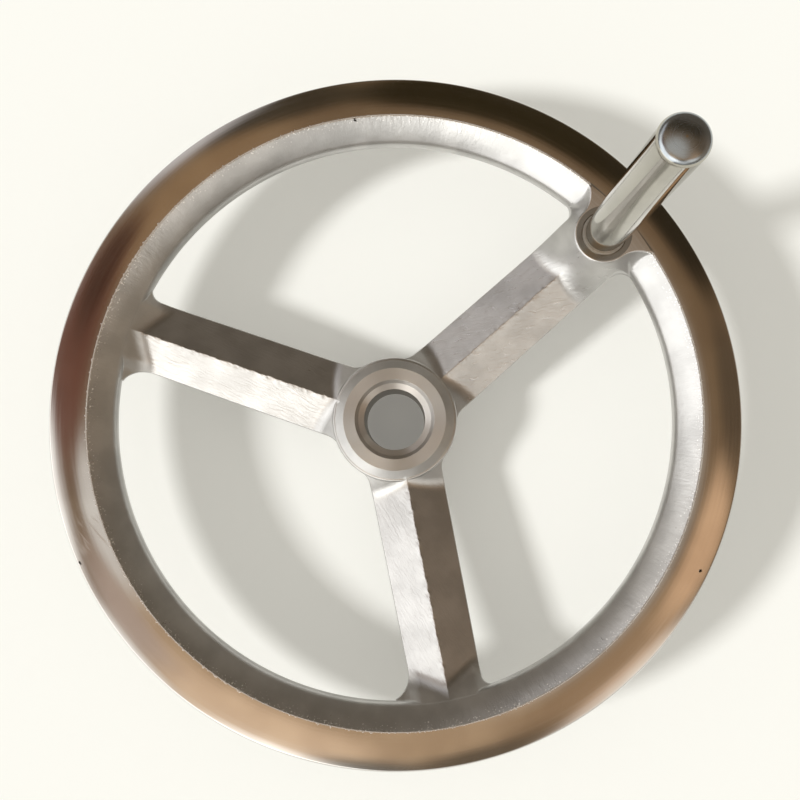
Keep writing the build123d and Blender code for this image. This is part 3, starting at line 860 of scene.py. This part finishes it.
def spokePiece(index):
    # the skin's section is closed by a wall down from each eave and a flat underside, and both
    # ends, which lie inside hub and rim, are closed by fans
    size = spokeSize
    top, s = spokeSkin(*size["rimRounds"][index], seed=20 * index + 3, carriesBoss=index == 0)
    under = np.maximum(roofHeight(s, 0 * s + size["halfWidthAtHub"], 3) - size["sideHeight"], 13.2)
    edgeRight, edgeLeft = top[:, 0], top[:, -1]
    footRight = np.column_stack([edgeRight[:, :2], under[:, 0]])
    footLeft = np.column_stack([edgeLeft[:, :2], under[:, -1]])
    down = np.linspace(0, 1, 7)[1:][None, :, None]
    wallLeft = followRim(edgeLeft[:, None] * (1 - down) + footLeft[:, None] * down)
    wallRight = followRim(edgeRight[:, None] * (1 - down) + footRight[:, None] * down)[:, ::-1]
    over = np.linspace(0, 1, 14)[1:-1][None, :, None]
    underside = wallLeft[:, -1:] * (1 - over) + wallRight[:, :1] * over
    ring = np.concatenate([top, wallLeft, underside, wallRight], 1)
    rows, columns = ring.shape[:2]
    uv = np.stack([np.hypot(ring[..., 0], ring[..., 1]) / 100, 0.5 + ring[..., 1] / 40], -1).reshape(-1, 2)
    turn = 2 * math.pi * index / size["count"]
    rotation = np.array([[math.cos(turn), math.sin(turn), 0], [-math.sin(turn), math.cos(turn), 0], [0, 0, 1]])
    points = ring.reshape(-1, 3) @ rotation
    ends = np.array([points[:columns].mean(0), points[-columns:].mean(0)])
    faceSets = [gridFaces(rows, columns, wrapColumns=True),
                fanFaces(np.arange(columns), len(points), backwards=True),
                fanFaces(len(points) - columns + np.arange(columns), len(points) + 1)]
    uv = np.concatenate([uv, uv[:1], uv[-1:]])
    brushTurn, brushDepth = size["brushes"][index]
    metal = castMaterial(f"spokeMetal_{index + 1}", math.radians(brushTurn), brushDepth)
    return makePiece(f"spoke_{index + 1}", np.concatenate([points, ends]), faceSets, [metal], uv=uv)


spokes = [spokePiece(index) for index in range(spokeSize["count"])]
print("spokes made", len(spokes[0].data.polygons))

# grip

gripLow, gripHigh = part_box("handle_grip")
gripSize = {
    "foot": gripLow.z / mm,
    "tip": gripHigh.z / mm,
    "radius": (gripHigh.y - gripLow.y) / mm / 2,
    "baseRadius": 5.6,
    "waist": 17.0,
    "tipRound": 2.0,
    "tipDome": 0.5,
    "boreRadius": 3.6,
    "boreDepth": 54.0,
    "mouthChamfer": 0.4,
    "segments": 128,
}


def gripProfile(size):
    # outline of (radius, height) from the bore's end on the axis to the tip on the axis: bore,
    # mouth, base that swells along a quarter sine, straight body, rounded tip, low dome
    radius, base, foot, tip = size["radius"], size["baseRadius"], size["foot"], size["tip"]
    share = np.linspace(0, 1, 26)
    swell = base + (radius - base) * np.sin(share * np.pi / 2)
    waist = np.stack([swell, foot + size["waist"] * share], -1)
    shoulder = tip - size["tipDome"] - size["tipRound"]
    body = line((radius, foot + size["waist"]), (radius, shoulder), 12)[1:]
    tipRim = radius - size["tipRound"]
    rounded = arc((tipRim, shoulder), size["tipRound"], 0, 78, 12)
    shares = np.linspace(0, 1, 16)[1:]
    start = rounded[-1]
    dome = np.stack([start[0] * (1 - shares), tip - (tip - start[1]) * (1 - shares) ** 2], -1)
    boreTop = foot + size["boreDepth"]
    bore = np.array([(0, boreTop), (1.2, boreTop), (size["boreRadius"] - 0.05, boreTop), (size["boreRadius"], boreTop - 0.05),
                     (size["boreRadius"], foot + size["mouthChamfer"]),
                     (size["boreRadius"] + size["mouthChamfer"], foot)])
    rows = np.concatenate([bore, waist, body, rounded, dome])
    tipRows = len(dome) + 5
    # the tip's rows take the darker tip steel, painted shade
    return rows, np.array([0] * (len(rows) - 3 - tipRows) + [1] * tipRows)


gripRows, gripRowMetals = gripProfile(gripSize)
grip = revolvedPiece("grip", gripRows, gripSize["segments"], (handleOffset, 0), [gripMetal, gripTipShadeMetal],
                     gripRowMetals, poles=True)
print("grip made")

for node, metal in (("handle_spindle", spindleMetal), ("grip_retaining_ring", springMetal)):
    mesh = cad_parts[node].data
    mesh.materials.clear()
    mesh.materials.append(metal)

for piece in [rim, hub, boss] + spokes:
    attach(piece, "wheel")
    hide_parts("wheel_casting")
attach(grip, "grip")
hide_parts("handle_grip")

# room, floor and light

viewTurn = 41.24  # degrees that the wheel's +X is turned from the right of the camera's view


def direction(azimuth, elevation):
    # unit vector; the azimuth is counted in degrees from the right of the camera's view
    turn, lift = math.radians(azimuth - viewTurn), math.radians(elevation)
    return Vector((math.cos(lift) * math.cos(turn), math.cos(lift) * math.sin(turn), math.sin(lift)))


roomPlan = {
    "radius": 2.5,
    "base": (0.24, 0.155, 0.085),
    # azimuth, elevation, half width and softness in degrees, and colour
    "patches": [
        ("ceiling", 90, 90, 17, 6, (0.80, 0.76, 0.69)),
        ("lowRoom", 0, -90, 136, 4, (0.175, 0.145, 0.11)),
        ("lowRight", 345, 18, 22, 10, (0.34, 0.27, 0.195)),
        ("doorSill", 73, 38, 10, 4, (0.19, 0.158, 0.127)),
        ("rightSill", 9, 39, 9, 3, (0.32, 0.245, 0.185)),
        ("tanWall", 250, 64, 18, 5, (0.60, 0.42, 0.26)),
        ("tanLamp", 242, 59, 10, 4, (1.0, 0.73, 0.49)),
        ("midTan", 314, 62, 8, 4, (0.47, 0.31, 0.18)),
        ("greyGapLeft", 264, 50, 6, 3, (0.20, 0.18, 0.15)),
        ("greyGapRight", 283, 52, 6, 3, (0.16, 0.12, 0.08)),
        ("peachLow", 313, 51, 7, 3, (1.0, 0.74, 0.53)),
        ("peachHigh", 341, 59, 7, 3, (0.88, 0.57, 0.34)),
        ("door", 63, 54.5, 9, 2.5, (0.035, 0.025, 0.010)),
        ("doorMid", 83, 54.5, 9, 2.5, (0.035, 0.025, 0.010)),
        ("doorLow", 40, 51, 9, 3, (0.035, 0.026, 0.014)),
        ("doorRight", 110, 52, 8, 3, (0.07, 0.052, 0.03)),
        ("darkRight", 8, 54, 7, 3, (0.13, 0.09, 0.055)),
        ("tanCorner", 131, 63, 8, 4, (0.37, 0.235, 0.125)),
        ("redChair", 163, 56, 11, 4, (0.20, 0.085, 0.055)),
        ("darkChair", 150, 57, 5, 3, (0.09, 0.042, 0.025)),
        ("windowTop", 193, 67, 5, 2.5, (0.92, 0.88, 0.82)),
        ("windowSide", 211, 59, 6, 3, (0.58, 0.45, 0.37)),
        ("greyWall", 127, 38, 12, 4, (0.86, 0.84, 0.85)),
        ("greyEdge", 155, 31, 12, 7, (1.35, 1.31, 1.25)),
        ("paleWall", 312, 38, 15, 5, (1.28, 1.23, 1.14)),
        ("paleGap", 277, 28, 14, 8, (1.0, 0.98, 0.93)),
        ("lowWindow", 218, 12, 30, 7, (2.1, 2.1, 2.06)),
        ("windowFar", 178, 24, 13, 5, (1.9, 1.9, 1.88)),
        ("windowLeft", 190, 36, 15, 5, (2.1, 2.1, 2.08)),
        ("windowMid", 218, 39, 12, 4, (1.9, 1.9, 1.86)),
        ("windowRight", 247, 37, 15, 4, (2.8, 2.8, 2.72)),
    ],
}


def roomMaterial(plan):
    # brown room with soft patches, each blended in by the angle from its own direction; its values
    # suit this one view and aren't plain light, so the steel looks greyer without it
    material, tree, output = newMaterial("roomGlow")
    place = addNode(tree, "ShaderNodeTexCoord")
    unit = addNode(tree, "ShaderNodeVectorMath", operation="NORMALIZE", Vector=place.outputs["Object"])
    color = mixColors(tree, 0.0, (*plan["base"], 1), (*plan["base"], 1))
    for name, azimuth, elevation, width, soft, tone in plan["patches"]:
        facing = addNode(tree, "ShaderNodeVectorMath", operation="DOT_PRODUCT", Vector=unit.outputs[0])
        facing.inputs[1].default_value = direction(azimuth, elevation)
        share = mapRange(tree, facing.outputs["Value"], math.cos(math.radians(width + soft)),
                         math.cos(math.radians(width - soft)))
        color = mixColors(tree, share, color, (*tone, 1))
    glow = addNode(tree, "ShaderNodeEmission", Color=color, Strength=1.0)
    tree.links.new(glow.outputs[0], output.inputs["Surface"])
    material.cycles.emission_sampling = "NONE"
    return material


def roomDome(plan):
    # part of a sphere from just below the horizon to the zenith, which only the metal sees
    lift = np.radians(np.linspace(-2, 90, 24))[:, None]
    turn = np.linspace(0, 2 * np.pi, 48, endpoint=False)[None]
    r = plan["radius"] / mm
    points = np.stack([r * np.cos(lift) * np.cos(turn), r * np.cos(lift) * np.sin(turn),
                       r * np.sin(lift) + 0 * turn], -1)
    dome = makePiece("roomDome", points, [gridFaces(24, 48, wrapColumns=True)], [roomMaterial(plan)], closed=False)
    dome.visible_camera = False
    dome.visible_diffuse = False
    dome.visible_shadow = False


floorLook = {"color": (0.80, 0.80, 0.775, 1), "lift": (0.155, 0.152, 0.142, 1), "halfSize": 1600.0}


def seenDirectly(tree):
    # 1 for what the camera sees, also in a mirror or through glass
    paths = addNode(tree, "ShaderNodeLightPath")
    seen = calc(tree, "MAXIMUM", paths.outputs["Is Camera Ray"], paths.outputs["Is Glossy Ray"])
    return calc(tree, "MAXIMUM", seen, paths.outputs["Is Transmission Ray"])


def floorMaterial(look):
    # matt white table, lifted a little by its own colour where it is seen
    material, tree, output = newMaterial("floorWhite")
    matt = addNode(tree, "ShaderNodeBsdfDiffuse", Color=look["color"])
    glow = addNode(tree, "ShaderNodeEmission", Color=look["lift"], Strength=seenDirectly(tree))
    both = addNode(tree, "ShaderNodeAddShader")
    tree.links.new(matt.outputs[0], both.inputs[0])
    tree.links.new(glow.outputs[0], both.inputs[1])
    tree.links.new(both.outputs[0], output.inputs["Surface"])
    return material


def floorPiece(look):
    half = look["halfSize"]
    points = [(-half, -half, 0), (half, -half, 0), (half, half, 0), (-half, half, 0)]
    makePiece("floor", points, [[[0, 1, 2, 3]]], [floorMaterial(look)], closed=False)


def studioWorld(color):
    # even light from all round, and white wherever it is seen directly
    world = bpy.data.worlds.new("studio")
    scene.world = world
    world.use_nodes = True
    tree = world.node_tree
    tree.nodes.clear()
    shown = mixColors(tree, seenDirectly(tree), color, (1, 1, 0.97, 1))
    glow = addNode(tree, "ShaderNodeBackground", Color=shown, Strength=1.0)
    tree.links.new(glow.outputs[0], tree.nodes.new("ShaderNodeOutputWorld").inputs[0])


roomDome(roomPlan)
floorPiece(floorLook)
studioWorld((0.56, 0.545, 0.50, 1))

# camera: place in millimetres, turns about Z, X and Y, and focal length for an 800 pixel frame
cameraPlan = {"place": (-4.00, -12.14, 298.87), "turn": (-3.19, 1.86, 41.24), "focalPixels": 937.4}


def viewCamera(plan):
    tilt, roll, spin = (math.radians(angle) for angle in plan["turn"])
    toCamera = Matrix.Rotation(spin, 3, "Z") @ Matrix.Rotation(tilt, 3, "X") @ Matrix.Rotation(roll, 3, "Y")
    camera = bpy.data.objects.new("camera", bpy.data.cameras.new("camera"))
    scene.collection.objects.link(camera)
    camera.data.sensor_width = 36
    camera.data.lens = plan["focalPixels"] / 800 * camera.data.sensor_width
    camera.data.clip_start = 0.01
    camera.matrix_world = Matrix.Translation(Vector(plan["place"]) * mm) @ toCamera.transposed().to_4x4()
    scene.camera = camera


viewCamera(cameraPlan)

keyPlan = {"azimuth": 194.5, "elevation": 39.5, "angle": 9.0, "strength": 2.4, "color": (1.0, 1.0, 0.985)}


def keyLamp(plan):
    # soft sun low at the left of the view; the steel mirrors the room's windows in its place
    aim = direction(plan["azimuth"], plan["elevation"])
    lamp = bpy.data.objects.new("keyLamp", bpy.data.lights.new("keyLamp", "SUN"))
    lamp.data.angle = math.radians(plan["angle"])
    lamp.data.energy = plan["strength"]
    lamp.data.color = plan["color"]
    lamp.location = aim * 1.5
    lamp.rotation_euler = aim.to_track_quat("Z", "Y").to_euler()
    lamp.visible_glossy = False
    scene.collection.objects.link(lamp)


keyLamp(keyPlan)
print("room, floor, light and camera set")
